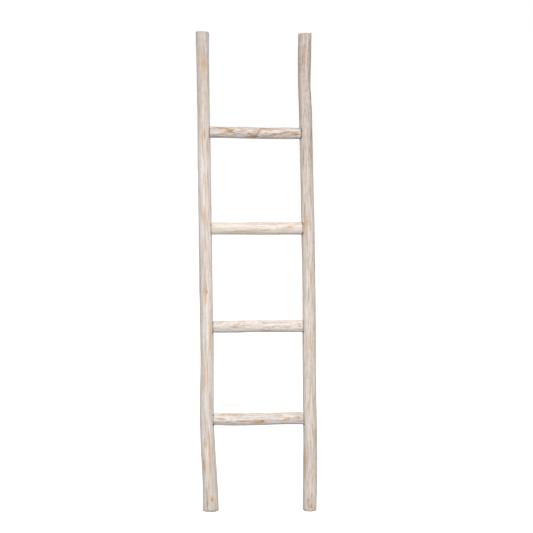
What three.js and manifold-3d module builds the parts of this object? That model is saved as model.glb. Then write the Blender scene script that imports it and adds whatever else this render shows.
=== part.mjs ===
// A whitewashed pole ladder for hanging quilts and blankets.
//
// Two natural poles carry four round rungs. Each rung end is turned down to a tenon, sits with its
// rounded shoulder in a shallow round seat in the rail, and is held by a wood screw that is driven
// from the rail's outer side and covered by a wooden plug, flush with the rail.
//
// Millimetres. +Z runs up the ladder, +X from the left rail to the right one, and the front faces -Y.
// The origin is on the floor, in the middle of the ladder's outline.

import * as THREE from "three";
import { mergeVertices } from "three/addons/utils/BufferGeometryUtils.js";
import Module from "manifold-3d";

const wasm = await Module();
wasm.setup();

// ---- driving dimensions ----

const ladderHeight = 1524; // floor to the highest corner of the rails
const railSpacing = 324; // between the nominal axes of the rails
const railDiameter = 41; // a rail's nominal diameter, before its own swelling
const railTopEase = 4; // rounding of a rail's top edge
const railFootEase = 3; // rounding of a rail's bottom edge
const topCutReach = 60; // length over which a slanted top cut runs out

const lowestRungHeight = 299; // floor to the axis of the lowest rung
const rungPitch = 304; // between the axes of two neighbouring rungs
const rungDiameter = 39; // a rung's nominal diameter, before its own swelling
const shoulderEase = 5; // rounding of a rung's shoulders

const tenonDiameter = 24;
const tenonChamfer = 1.5;
const woodBehindTenon = 6.5; // left between the mortise and the plug's hole
const fitGap = 0.3; // between any two mating pieces

const screwLength = 50;
const screwDiameter = 4.2; // over the threads
const screwHeadDiameter = 8.4;
const screwHeadHeight = 2.8; // of the countersunk cone
const screwHeadRim = 0.5; // straight edge of the head, above the cone
const screwPointLength = 6;
const plugDepth = 7; // below the rail's outer side
const plugMargin = 0.8; // a plug's hole stands this far outside the screw's head

// ---- fineness of the round faces ----

const poleSides = 24;
const rungSides = 20;
const fixingSides = 12; // of screws, plugs and their holes
const easeSteps = 1; // half the number of facets in a rounded edge
const poleStep = 40; // length of one facet along a pole

// ---- natural shape of each pole ----

// Each station is: share of the length, two drifts of the axis, and what is added to the radius.
// A rail's drifts are sideways and backwards, a rung's are downwards and backwards.
const rails = [
  {
    name: "left_rail",
    side: -1,
    topDrop: 0, // how much lower than the ladder's height its highest corner is
    topCutSlope: -0.05, // the top cut's rise for each millimetre along +X
    stations: [
      [0.0, 12.1, 0.0, 5.2],
      [0.05, 10.7, 0.9, 3.7],
      [0.11, 5.6, 2.1, 3.4],
      [0.16, 2.0, 3.0, 2.3],
      [0.24, 0.6, 3.8, 2.0],
      [0.31, 1.9, 3.4, 0.8],
      [0.37, 1.6, 2.4, 1.4],
      [0.45, 0.2, 0.9, 0.3],
      [0.6, -2.0, -1.8, 0.2],
      [0.75, -4.1, -3.6, 0.1],
      [0.84, -5.4, -3.3, -1.0],
      [0.93, -7.3, -2.0, -1.1],
      [1.0, -8.3, -0.8, 0.1],
    ],
  },
  {
    name: "right_rail",
    side: 1,
    topDrop: 5,
    topCutSlope: 0.045,
    stations: [
      [0.0, 6.1, 4.0, 1.7],
      [0.08, 6.9, 0.4, 2.8],
      [0.16, 6.9, -2.2, 1.6],
      [0.24, 4.5, -3.1, 1.4],
      [0.28, 3.7, -2.9, 1.0],
      [0.36, 2.9, -2.0, 1.4],
      [0.48, 1.4, 0.2, 0.2],
      [0.58, -1.8, 2.2, 0.7],
      [0.7, -5.8, 3.9, 0.1],
      [0.8, -9.8, 4.4, 0.0],
      [0.845, -11.4, 4.0, -0.2],
      [0.885, -15.1, 2.9, -1.2],
      [0.93, -14.9, 2.4, -0.2],
      [1.0, -13.7, 2.6, 0.5],
    ],
  },
];

// From the lowest rung up. Lift is the rung's height above its even place, rise is how much higher
// its right end is than its left one, and letIn is how deep its left and right shoulders sit in the
// rails' sides.
const rungs = [
  {
    lift: 1.1,
    rise: 5.0,
    letIn: [2.5, 2],
    stations: [
      [0.0, 0, 0, 0.0],
      [0.25, 1.6, -0.4, 1.0],
      [0.52, 1.7, -0.6, 0.1],
      [0.74, 0.0, -0.2, -0.1],
      [1.0, 0, 0, 0.7],
    ],
  },
  {
    lift: -5.5,
    rise: 3.2,
    letIn: [2, 3],
    stations: [
      [0.0, 0, 0, -0.4],
      [0.3, -0.2, 0.5, 0.5],
      [0.46, -0.6, 0.8, -0.2],
      [0.7, -0.3, 0.6, 0.1],
      [1.0, 0, 0, 0.3],
    ],
  },
  {
    lift: 2.9,
    rise: -0.3,
    letIn: [2.5, 5],
    stations: [
      [0.0, 0, 0, 0.3],
      [0.24, 0.7, -0.6, -0.5],
      [0.45, 0.6, -0.9, 0.4],
      [0.62, 0.3, -0.7, 0.8],
      [0.84, 0.2, -0.3, 0.4],
      [1.0, 0, 0, 1.0],
    ],
  },
  {
    lift: -1.3,
    rise: -4.8,
    letIn: [3, 7],
    stations: [
      [0.0, 0, 0, -1.6],
      [0.14, -0.3, 0.3, -2.5],
      [0.34, 0.2, 0.7, -1.3],
      [0.55, 0.8, 0.8, -1.7],
      [0.85, 0.3, 0.3, -1.4],
      [1.0, 0, 0, -2.0],
    ],
  },
];

// ---- solids ----

function solid(geometry) {
  geometry.deleteAttribute("normal");
  geometry.deleteAttribute("uv");
  const merged = mergeVertices(geometry);
  const mesh = new wasm.Mesh({
    numProp: 3,
    vertProperties: merged.getAttribute("position").array,
    triVerts: new Uint32Array(merged.index.array),
  });
  return new wasm.Manifold(mesh);
}

const ladder = new THREE.Group();

function addPiece(name, shape, material) {
  const { vertProperties, triVerts } = shape.getMesh();
  const geometry = new THREE.BufferGeometry();
  geometry.setAttribute("position", new THREE.BufferAttribute(vertProperties, 3));
  geometry.setIndex(new THREE.BufferAttribute(triVerts, 1));
  geometry.computeVertexNormals();
  const mesh = new THREE.Mesh(geometry, material);
  mesh.name = name;
  ladder.add(mesh);
}

function whitewashedWood(color) {
  return new THREE.MeshStandardMaterial({ color, roughness: 0.8, metalness: 0 });
}

function zincPlatedSteel() {
  return new THREE.MeshStandardMaterial({ color: 0xb8bcc2, roughness: 0.35, metalness: 0.9 });
}

// ---- poles ----

// Reads the drifts and the swelling at any share of a pole's length.
function naturalShape(stations) {
  const shares = stations.map((station) => station[0]);
  const values = stations.flatMap((station) => station.slice(1));
  return new THREE.CubicInterpolant(shares, values, 3);
}

// A straight round bar along +Z, from 0 to its length, with both edges rounded.
function straightBar(length, radius, startEase, endEase, sides) {
  const steps = Math.round(length / poleStep);
  const outline = new THREE.Path();
  outline.moveTo(0, 0);
  outline.lineTo(radius - startEase, 0);
  outline.absarc(radius - startEase, startEase, startEase, -Math.PI / 2, 0, false);
  for (let step = 1; step < steps; step++) {
    outline.lineTo(radius, startEase + ((length - startEase - endEase) * step) / steps);
  }
  outline.absarc(radius - endEase, length - endEase, endEase, 0, Math.PI / 2, false);
  outline.lineTo(0, length);
  const bar = new THREE.LatheGeometry(outline.getPoints(easeSteps), sides);
  bar.rotateX(Math.PI / 2);
  return bar;
}

// Gives a straight bar its natural drift and swelling, in place.
function growNaturally(bar, length, radius, stations) {
  const shape = naturalShape(stations);
  const position = bar.getAttribute("position");
  for (let i = 0; i < position.count; i++) {
    const share = THREE.MathUtils.clamp(position.getZ(i) / length, 0, 1);
    const [driftX, driftY, swelling] = shape.evaluate(share);
    const girth = 1 + swelling / radius;
    position.setX(i, position.getX(i) * girth + driftX);
    position.setY(i, position.getY(i) * girth + driftY);
  }
}

// Slants a bar's top, leaving its highest corner at the bar's length.
function slantTop(bar, length, radius, slope) {
  const position = bar.getAttribute("position");
  for (let i = 0; i < position.count; i++) {
    const reach = (position.getZ(i) - length + topCutReach) / topCutReach;
    const share = THREE.MathUtils.clamp(reach, 0, 1);
    const drop = slope * position.getX(i) - Math.abs(slope) * (radius - railTopEase);
    position.setZ(i, position.getZ(i) + share * drop);
  }
}

function railAt(rail, height) {
  const [driftX, driftY, swelling] = naturalShape(rail.stations).evaluate(height / ladderHeight);
  return {
    axis: new THREE.Vector3((rail.side * railSpacing) / 2 + driftX, driftY, height),
    radius: railDiameter / 2 + swelling,
  };
}

function makeRail(rail) {
  const radius = railDiameter / 2;
  const length = ladderHeight - rail.topDrop;
  const bar = straightBar(length, radius, railFootEase, railTopEase, poleSides);
  slantTop(bar, length, radius, rail.topCutSlope);
  growNaturally(bar, ladderHeight, radius, rail.stations);
  bar.translate((rail.side * railSpacing) / 2, 0, 0);
  return solid(bar);
}

// ---- joints ----

// A joint's own frame starts on the rail's axis, with +X along the rung's axis, towards the rung.
function jointFrame(start, towards) {
  const along = towards.clone().sub(start).normalize();
  const across = new THREE.Vector3(0, 0, 1).cross(along).normalize();
  const up = along.clone().cross(across);
  return new THREE.Matrix4().makeBasis(along, across, up).setPosition(start);
}

// Places along a joint's axis, measured from the rail's axis towards the rung.
function jointPlaces(railRadius, letIn) {
  const seatFloor = railRadius - letIn;
  const plugFloor = plugDepth - railRadius;
  const mortiseFloor = plugFloor + woodBehindTenon;
  return {
    seatFloor,
    shoulder: seatFloor + fitGap,
    mortiseFloor,
    tenonTip: mortiseFloor + fitGap,
    plugFloor,
    outside: -2 * railRadius,
    inside: 2 * railRadius,
  };
}

// A round body along the joint's axis. Each ring is a place along the axis and a radius.
function turned(frame, rings, sides) {
  const outline = rings.map(([place, radius]) => new THREE.Vector2(radius, place));
  const first = new THREE.Vector2(0, rings[0][0]);
  const last = new THREE.Vector2(0, rings[rings.length - 1][0]);
  const body = new THREE.LatheGeometry([first, ...outline, last], sides);
  body.rotateZ(-Math.PI / 2);
  body.applyMatrix4(frame);
  return solid(body);
}

// The screw's outline, or that of its hole, which stands a gap outside it all round.
function screwRings(places, gap) {
  const head = places.plugFloor;
  const headRadius = screwHeadDiameter / 2 + gap;
  const radius = screwDiameter / 2 + gap;
  const coneEnd = head + screwHeadRim + screwHeadHeight;
  const tip = head + screwLength + gap;
  return [
    [head, headRadius],
    [head + screwHeadRim, headRadius],
    [coneEnd, radius],
    [tip - screwPointLength, radius],
    [tip, radius / 4],
  ];
}

function makeScrew(joint) {
  return turned(joint.frame, screwRings(joint.places, 0), fixingSides);
}

function screwHole(joint) {
  return turned(joint.frame, screwRings(joint.places, fitGap), fixingSides);
}

// From the rail's outer side: the plug's hole, which runs on as the screw's hole.
function plugAndScrewHole(joint) {
  const { outside, plugFloor } = joint.places;
  const radius = screwHeadDiameter / 2 + plugMargin;
  const rings = [[outside, radius], [plugFloor, radius], ...screwRings(joint.places, fitGap)];
  return turned(joint.frame, rings, fixingSides);
}

// From the rail's inner side: the shoulder's seat, with the tenon's mortise in its floor.
function seatAndMortise(joint) {
  const { mortiseFloor, seatFloor, inside } = joint.places;
  const mortiseRadius = tenonDiameter / 2 + fitGap;
  const seatRadius = joint.rungRadius + fitGap;
  const rings = [
    [mortiseFloor, mortiseRadius],
    [seatFloor, mortiseRadius],
    [seatFloor, seatRadius],
    [inside, seatRadius],
  ];
  return turned(joint.frame, rings, rungSides);
}

// A plug fills its hole up to the rail's own surface.
function makePlug(joint, uncutRail) {
  const { outside, plugFloor } = joint.places;
  const radius = screwHeadDiameter / 2 + plugMargin - fitGap;
  const rings = [[outside, radius], [plugFloor - fitGap, radius]];
  return turned(joint.frame, rings, fixingSides).intersect(uncutRail);
}

function makeTenon(joint) {
  const radius = tenonDiameter / 2;
  const { tenonTip, inside } = joint.places;
  const rings = [
    [tenonTip, radius - tenonChamfer],
    [tenonTip + tenonChamfer, radius],
    [inside, radius],
  ];
  return turned(joint.frame, rings, rungSides);
}

function makeRung(rung, joints) {
  const [left, right] = joints;
  const radius = rungDiameter / 2;
  const length = rung.span - left.places.shoulder - right.places.shoulder;
  const thinnestEnd = Math.min(left.rungRadius, right.rungRadius);
  const ease = Math.min(shoulderEase, 0.8 * (thinnestEnd - tenonDiameter / 2));
  const bar = straightBar(length, radius, ease, ease, rungSides);
  growNaturally(bar, length, radius, rung.stations);
  bar.rotateY(Math.PI / 2);
  bar.translate(left.places.shoulder, 0, 0);
  bar.applyMatrix4(left.frame);
  let body = solid(bar);
  for (const joint of joints) body = body.add(makeTenon(joint)).subtract(screwHole(joint));
  return body;
}

// A rung's radius where it enters its rail, the thicker of both ends of the entered length.
function enteringRadius(rung, end, letIn) {
  const shape = naturalShape(rung.stations);
  const inwards = letIn / rung.span;
  const shares = end === 0 ? [0, inwards] : [1 - inwards, 1];
  const swellings = shares.map((share) => shape.evaluate(share)[2]);
  return rungDiameter / 2 + Math.max(...swellings);
}

function planJoint(rung, end, rail, railEnd, otherEnd) {
  const letIn = rung.letIn[end];
  return {
    rail,
    rung,
    frame: jointFrame(railEnd.axis, otherEnd.axis),
    places: jointPlaces(railEnd.radius, letIn),
    rungRadius: enteringRadius(rung, end, letIn),
  };
}

// ---- assembly ----

const [leftRail, rightRail] = rails;
const joints = [];

rungs.forEach((rung, index) => {
  const height = lowestRungHeight + index * rungPitch + rung.lift;
  const leftEnd = railAt(leftRail, height - rung.rise / 2);
  const rightEnd = railAt(rightRail, height + rung.rise / 2);
  rung.name = `rung_${index + 1}`;
  rung.span = leftEnd.axis.distanceTo(rightEnd.axis);
  joints.push(planJoint(rung, 0, leftRail, leftEnd, rightEnd));
  joints.push(planJoint(rung, 1, rightRail, rightEnd, leftEnd));
});

for (const rail of rails) {
  const uncutRail = makeRail(rail);
  let cutRail = uncutRail;
  for (const joint of joints) {
    if (joint.rail !== rail) continue;
    const side = rail.side < 0 ? "left" : "right";
    cutRail = cutRail.subtract(plugAndScrewHole(joint)).subtract(seatAndMortise(joint));
    addPiece(`${side}_screw_${joint.rung.name}`, makeScrew(joint), zincPlatedSteel());
    addPiece(`${side}_plug_${joint.rung.name}`, makePlug(joint, uncutRail), whitewashedWood(0xd8c6b4));
  }
  addPiece(rail.name, cutRail, whitewashedWood(0xdccfc4));
}

for (const rung of rungs) {
  const ownJoints = joints.filter((joint) => joint.rung === rung);
  addPiece(rung.name, makeRung(rung, ownJoints), whitewashedWood(0xe4d8cc));
}

const outline = new THREE.Box3().setFromObject(ladder);
const middle = outline.getCenter(new THREE.Vector3());
ladder.position.set(-middle.x, -middle.y, -outline.min.z);

export default ladder;
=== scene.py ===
"""The looks of a whitewashed pole ladder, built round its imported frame.

Each pole and rung is a fine-grained tube that follows its CAD node, with knots, grain and rubbed
whitewash; the rails are then bored for the rungs, the screws and the plugs.
"""

import functools
import math
from collections import namedtuple

import bmesh
import bpy
import numpy as np
from bpy.props import FloatProperty, FloatVectorProperty, IntProperty, PointerProperty
from mathutils import Matrix, Vector, noise
from mathutils.bvhtree import BVHTree


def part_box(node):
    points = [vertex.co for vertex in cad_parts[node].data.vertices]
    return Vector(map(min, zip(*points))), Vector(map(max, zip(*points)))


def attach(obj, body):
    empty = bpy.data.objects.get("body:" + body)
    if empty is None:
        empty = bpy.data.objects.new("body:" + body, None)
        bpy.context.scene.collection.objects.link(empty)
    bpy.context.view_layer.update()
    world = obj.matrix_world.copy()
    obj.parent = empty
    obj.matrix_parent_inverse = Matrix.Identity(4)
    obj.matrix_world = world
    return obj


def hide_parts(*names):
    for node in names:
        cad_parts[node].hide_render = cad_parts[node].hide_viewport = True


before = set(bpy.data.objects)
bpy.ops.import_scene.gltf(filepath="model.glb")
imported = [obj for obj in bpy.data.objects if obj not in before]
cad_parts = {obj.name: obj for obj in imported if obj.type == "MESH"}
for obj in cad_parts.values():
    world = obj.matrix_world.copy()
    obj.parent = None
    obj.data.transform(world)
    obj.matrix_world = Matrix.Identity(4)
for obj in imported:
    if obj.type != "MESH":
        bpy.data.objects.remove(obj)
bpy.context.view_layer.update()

bl_info = {
    "name": "Whitewashed Pole Ladder",
    "version": (1, 0, 0),
    "blender": (4, 5, 0),
    "location": "View3D > Sidebar > Ladder",
    "description": "Dresses the packed frame of a whitewashed pole ladder",
    "category": "Object",
}

BODY = "root"
SIDES = ("left", "right")
RAILS = ("left_rail", "right_rail")
RUNGS = ("rung_1", "rung_2", "rung_3", "rung_4")
MM = 0.001


def srgb(red, green, blue):
    """A colour given in 0 to 255 steps, as scene linear values."""

    def linear(step):
        value = step / 255
        return value / 12.92 if value <= 0.04045 else ((value + 0.055) / 1.055) ** 2.4

    return (linear(red), linear(green), linear(blue))


# ---- natural marks, chosen piece by piece ----

# A knot is: share of the pole's length, degrees from the front, radius in mm.
# Degrees run towards the right on a rail and upwards on a rung.
KNOTS = {
    "left_rail": (
        (0.027, 13, 3.2),
        (0.31, 150, 9),
        (0.466, 10, 2.5),
        (0.47, -84, 9),
        (0.63, 100, 8),
        (0.86, -84, 8),
    ),
    "right_rail": (
        (0.24, -150, 9),
        (0.282, -23, 3),
        (0.52, 95, 8),
        (0.70, 165, 10),
        (0.872, 80, 9),
    ),
    "rung_1": ((0.545, -9, 2.6), (0.20, 160, 7)),
    "rung_2": ((0.962, 5, 1.8), (0.62, -150, 7)),
    "rung_3": ((0.33, -170, 7), (0.76, 120, 6)),
    "rung_4": ((0.228, 12, 3.5), (0.498, -34, 4.5), (0.80, 165, 7)),
}

# A rubbed patch is: share of the length, degrees from the front, half length and half width in mm,
# how much of the whitewash is gone, where 1 is nearly all, and the patch's slant in degrees.
RUBBED = {
    "left_rail": (
        (0.936, 0, 30, 5, 0.95, 0),
        (0.90, -12, 26, 4, 0.5, 0),
        (0.93, 38, 14, 4, 0.6, 0),
        (0.84, -74, 70, 9, 0.7, 0),
        (0.79, 6, 15, 5, 0.75, 0),
        (0.62, -8, 28, 7, 0.6, 0),
        (0.56, 5, 20, 5, 0.6, 0),
        (0.56, -74, 45, 9, 0.6, 0),
        (0.475, -72, 70, 9, 0.6, 0),
        (0.46, -6, 34, 5, 0.5, 0),
        (0.36, 24, 50, 4, 0.5, 0),
        (0.29, -20, 60, 4, 0.5, 2),
        (0.145, -22, 12, 6, 0.8, 0),
        (0.105, 15, 55, 4, 0.6, 0),
        (0.097, -36, 20, 5, 0.85, 0),
        (0.02, -27, 20, 3, 0.8, 0),
        (0.030, 13, 12, 3.5, 0.9, 0),
    ),
    "right_rail": (
        (0.93, 70, 110, 8, 0.7, 0),
        (0.90, -68, 110, 7, 0.5, 0),
        (0.95, -10, 60, 3, 0.4, 0),
        (0.84, -5, 14, 3, 0.7, 0),
        (0.78, 62, 70, 7, 0.5, 0),
        (0.62, -25, 60, 3, 0.45, 0),
        (0.50, 18, 60, 3, 0.45, 0),
        (0.38, -14, 50, 3, 0.45, 0),
        (0.226, -16, 16, 3, 0.8, 0),
        (0.16, 58, 50, 4, 0.6, 0),
        (0.105, -50, 40, 4, 0.8, 0),
        (0.024, -12, 7, 3, 1.0, 30),
        (0.012, 14, 6, 4, 1.0, -30),
        (0.034, 10, 8, 2.5, 0.8, 0),
        (0.010, -6, 5, 5, 0.8, 0),
    ),
    "rung_1": (
        (0.082, 12, 14, 5, 1.1, 0),
        (0.20, 54, 50, 3, 0.6, 0),
        (0.36, -5, 20, 3.4, 0.9, 0),
        (0.52, -10, 20, 6, 1.3, 6),
        (0.60, 52, 40, 3, 0.5, 0),
        (0.815, 6, 12, 6, 1.2, 24),
        (0.945, 20, 5, 3, 0.5, 0),
    ),
    "rung_2": (
        (0.08, 42, 14, 3, 0.55, 0),
        (0.264, 24, 17, 4, 0.6, 20),
        (0.42, 34, 13, 4, 0.65, 34),
        (0.45, 0, 13, 3, 0.65, 10),
        (0.53, -42, 9, 3, 0.7, 0),
        (0.69, 12, 27, 4.5, 0.65, 28),
        (0.83, -2, 8, 3, 0.55, 0),
        (0.962, 5, 7, 3, 0.6, 0),
        (0.962, -20, 8, 2, 0.5, 0),
    ),
    "rung_3": (
        (0.15, 30, 16, 4, 0.5, 0),
        (0.25, 2, 8, 2.5, 0.6, 0),
        (0.31, -22, 26, 5, 0.9, 0),
        (0.59, -14, 14, 5, 0.7, 0),
        (0.86, 18, 16, 4, 0.6, 0),
        (0.72, 50, 40, 4, 0.5, 0),
    ),
    "rung_4": (
        (0.12, 48, 16, 3, 0.7, 0),
        (0.202, 33, 9, 3.4, 1.0, -29),
        (0.185, -1, 11, 3, 1.0, 5),
        (0.249, 33, 7, 3, 0.9, 25),
        (0.258, -4, 9, 3.2, 0.95, -28),
        (0.444, -14, 13, 3.4, 0.9, -36),
        (0.534, 8, 15, 3.4, 1.0, 55),
        (0.498, -38, 8, 5, 0.9, 0),
        (0.60, 50, 20, 3, 0.6, 0),
        (0.72, 47, 26, 3, 0.7, 0),
        (0.66, -12, 20, 3, 0.5, 6),
        (0.81, 3, 22, 3.5, 0.8, 8),
        (0.94, 3, 16, 6, 1.0, 0),
    ),
}

# How much a piece is soiled at shares of its length.
SOILED = {
    "left_rail": ((0, 0.07), (0.25, 0.0), (0.5, 0.0), (0.72, 0.01), (0.88, 0.23), (1, 0.28)),
    "right_rail": ((0, 0.02), (0.25, 0.02), (0.5, 0.07), (0.72, 0.17), (0.88, 0.3), (1, 0.31)),
    "rung_1": ((0, 0.05), (1, 0.05)),
    "rung_3": ((0, 0.07), (1, 0.07)),
    "rung_4": ((0, 0.19), (1, 0.17)),
}

# A crease is: share of the length, degrees from the front, half length, half width and depth in mm.
CREASES = {
    "left_rail": ((0.018, -27, 55, 3.2, 1.7),),
    "right_rail": ((0.10, -52, 60, 3.5, 1.1), (0.014, 12, 14, 3, 1.4), (0.014, -12, 12, 2.5, 1.2)),
    "rung_3": ((0.25, 2, 8, 1.2, 1.0),),
    "rung_4": ((0.498, -40, 6, 2.0, 0.9),),
}


# ---- sizes and colours a user may change ----


def length(name, description, default):
    return FloatProperty(
        name=name, description=description, default=default, unit="LENGTH", precision=4
    )


def colour(name, description, *steps):
    return FloatVectorProperty(
        name=name, description=description, subtype="COLOR", size=3,
        default=srgb(*steps), min=0, max=1,
    )


def spot(name, description, *default):
    return FloatVectorProperty(
        name=name, description=description, subtype="TRANSLATION", unit="LENGTH", size=3,
        default=default,
    )


class PoleSizes(bpy.types.PropertyGroup):
    """Fineness and relief of the poles and rungs."""

    sides: IntProperty(name="Sides", description="Faces round a pole", default=136, min=24)
    ring_spacing: length("Ring Spacing", "Length of one face along a pole", 2.8 * MM)
    foot_rounding: length("Foot Rounding", "Rounded edge of a rail's lower end", 3 * MM)
    top_rounding: length("Top Rounding", "Rounded edge of a rail's upper end", 4 * MM)
    shoulder_rounding: length("Shoulder Rounding", "Rounded edge of a rung's shoulder", 5 * MM)
    facet_depth: length("Facet Depth", "How far the pole is out of round", 1.7 * MM)
    grain_depth: length("Grain Depth", "Height of the raised grain", 0.55 * MM)
    check_depth: length("Check Depth", "Depth of the drying checks", 0.8 * MM)


class JointSizes(bpy.types.PropertyGroup):
    """Sizes of the rungs' joints and of the screws in them."""

    fit_gap: length("Fit Gap", "Gap between mating pieces", 0.3 * MM)
    seat_slack: length("Seat Slack", "How much wider a rung's seat is than the rung", 1.2 * MM)
    thread_pitch: length("Thread Pitch", "Length of one turn of the screw thread", 1.8 * MM)
    core_share: FloatProperty(
        name="Core Share", description="Screw core diameter over thread diameter",
        default=0.66, min=0.3, max=0.95, subtype="FACTOR",
    )
    plain_share: FloatProperty(
        name="Plain Share", description="Share of the screw's length without thread",
        default=0.32, min=0.1, max=0.8, subtype="FACTOR",
    )


class WoodColours(bpy.types.PropertyGroup):
    """Colours of the wood and of the whitewash on it."""

    wash: colour("Whitewash", "Colour where the whitewash lies thick", 236, 231, 228)
    thin_wash: colour("Thin Whitewash", "Colour where the whitewash lies thin", 206, 198, 192)
    light_wood: colour("Light Wood", "Bare wood between the fibres", 229, 199, 164)
    dark_wood: colour("Dark Wood", "Bare wood along the fibres", 202, 163, 125)
    knot: colour("Knot", "Heart of a knot", 152, 114, 82)
    # Colour of the dirt, also used for the painted shade in the joints, under the rungs and in the
    # creases.
    grime: colour("Grime", "Dirt in the joints and on the feet", 104, 88, 74)


class StageSettings(bpy.types.PropertyGroup):
    """Camera and light."""

    camera_place: spot("Camera Place", "Where the camera stands", 0, -4.544, 1.264)
    camera_aim: spot("Camera Aim", "The point in the middle of the view", 0.0284, 0, 0.7887)
    lens: FloatProperty(name="Lens", description="Focal length in mm", default=97.6, min=10)
    key_power: FloatProperty(
        name="Key Power", description="Large front light", default=131, unit="POWER"
    )
    sky: FloatProperty(
        name="Sky", description="Strength of the light from all round", default=0.7, min=0
    )


# ---- node trees ----


class Amount:
    """A node's output to calculate with: each sum adds a Math node."""

    def __init__(self, net, socket):
        self.net = net
        self.socket = socket

    def __add__(self, other):
        return self.net.math("ADD", self, other)

    def __sub__(self, other):
        return self.net.math("SUBTRACT", self, other)

    def __rsub__(self, other):
        return self.net.math("SUBTRACT", other, self)

    def __mul__(self, other):
        return self.net.math("MULTIPLY", self, other)

    def __truediv__(self, other):
        return self.net.math("DIVIDE", self, other)

    def __rtruediv__(self, other):
        return self.net.math("DIVIDE", other, self)

    def __abs__(self):
        return self.net.math("ABSOLUTE", self)


class Net:
    """Adds nodes to a tree, feeding each from values or from other nodes' outputs."""

    COLUMN = 190

    def __init__(self, name, kind, inputs, outputs):
        self.tree = bpy.data.node_groups.new(name, kind)
        for direction, sockets in (("INPUT", inputs), ("OUTPUT", outputs)):
            for socket_name, socket_kind, *default in sockets:
                socket = self.tree.interface.new_socket(
                    name=socket_name, in_out=direction, socket_type="NodeSocket" + socket_kind
                )
                if default:
                    socket.default_value = default[0]
        self.given = self.amounts(self.tree.nodes.new("NodeGroupInput"))

    def amounts(self, node):
        return {socket.name: Amount(self, socket) for socket in node.outputs}

    def add(self, kind, feeds=None, **settings):
        node = self.tree.nodes.new(kind)
        node.location = (self.COLUMN * len(self.tree.nodes), 0)
        for name, value in settings.items():
            setattr(node, name, value)
        for socket, value in (feeds or {}).items():
            self.feed(node.inputs[socket], value)
        return node

    def feed(self, socket, value):
        if isinstance(value, Amount):
            self.tree.links.new(value.socket, socket)
        elif socket.type == "RGBA":
            socket.default_value = (*value[:3], 1.0)
        else:
            socket.default_value = value

    def out(self, kind, output, feeds=None, **settings):
        return Amount(self, self.add(kind, feeds, **settings).outputs[output])

    def group(self, tree, feeds):
        kind = self.tree.bl_idname.replace("Tree", "Group")
        return self.amounts(self.add(kind, feeds, node_tree=tree))

    def giving(self, **results):
        """Feeds the group's outputs, and hands over the finished tree."""
        self.add("NodeGroupOutput", results)
        return self.tree

    def math(self, operation, *values, clamp=False):
        feeds = dict(enumerate(values))
        return self.out("ShaderNodeMath", 0, feeds, operation=operation, use_clamp=clamp)

    def vector(self, operation, *values, output="Vector"):
        feeds = dict(enumerate(values))
        return self.out("ShaderNodeVectorMath", output, feeds, operation=operation)

    def scaled(self, vector, factor):
        feeds = {"Vector": vector, "Scale": factor}
        return self.out("ShaderNodeVectorMath", "Vector", feeds, operation="SCALE")

    def apart(self, vector):
        return self.amounts(self.add("ShaderNodeSeparateXYZ", {0: vector}))

    def together(self, **parts):
        return self.out("ShaderNodeCombineXYZ", 0, parts)

    def position(self):
        return self.out("GeometryNodeInputPosition", 0)

    def named(self, name, kind="FLOAT"):
        return self.out(
            "GeometryNodeInputNamedAttribute", "Attribute", {"Name": name}, data_type=kind
        )

    def ramp(self, value, low, high, start=0.0, end=1.0, kind="SMOOTHSTEP"):
        feeds = {"Value": value, "From Min": low, "From Max": high, "To Min": start, "To Max": end}
        return self.out("ShaderNodeMapRange", "Result", feeds, interpolation_type=kind)

    def noise(self, vector, seed, detail=2.0, roughness=0.5):
        feeds = {
            "Vector": vector, "W": seed, "Scale": 1.0, "Detail": detail, "Roughness": roughness,
        }
        return self.out("ShaderNodeTexNoise", "Fac", feeds, noise_dimensions="4D")

    def mix(self, share, first, second):
        feeds = {0: share, 6: first, 7: second}
        return self.out("ShaderNodeMix", 2, feeds, data_type="RGBA")


def shared(name, build):
    """A node tree by its name, built once."""
    return bpy.data.node_groups.get(name) or build(name)


def tube_on_path(name):
    """A round tube along a line of points, whose radius is the attribute "girth"."""
    net = Net(
        name, "GeometryNodeTree",
        inputs=(("Line", "Geometry"), ("Sides", "Int", 32)),
        outputs=(("Tube", "Geometry"), ("Offset", "Vector"), ("Along", "Float")),
    )
    capture = net.add("GeometryNodeCaptureAttribute", domain="POINT")
    capture.capture_items.new("VECTOR", "Centre")
    capture.capture_items.new("FLOAT", "Along")
    curve = net.out("GeometryNodeMeshToCurve", "Curve", {"Mesh": net.given["Line"]})
    net.feed(capture.inputs["Geometry"], curve)
    net.feed(capture.inputs["Centre"], net.position())
    net.feed(capture.inputs["Along"], net.out("GeometryNodeSplineParameter", "Length"))
    held = net.amounts(capture)
    round_profile = {"Resolution": net.given["Sides"], "Radius": 1.0}
    tube = net.out(
        "GeometryNodeCurveToMesh", "Mesh",
        {
            "Curve": held["Geometry"], "Scale": net.named("girth"), "Fill Caps": True,
            "Profile Curve": net.out("GeometryNodeCurvePrimitiveCircle", "Curve", round_profile),
        },
    )
    offset = net.vector("SUBTRACT", net.position(), held["Centre"])
    return net.giving(Tube=tube, Offset=offset, Along=held["Along"])


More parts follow.
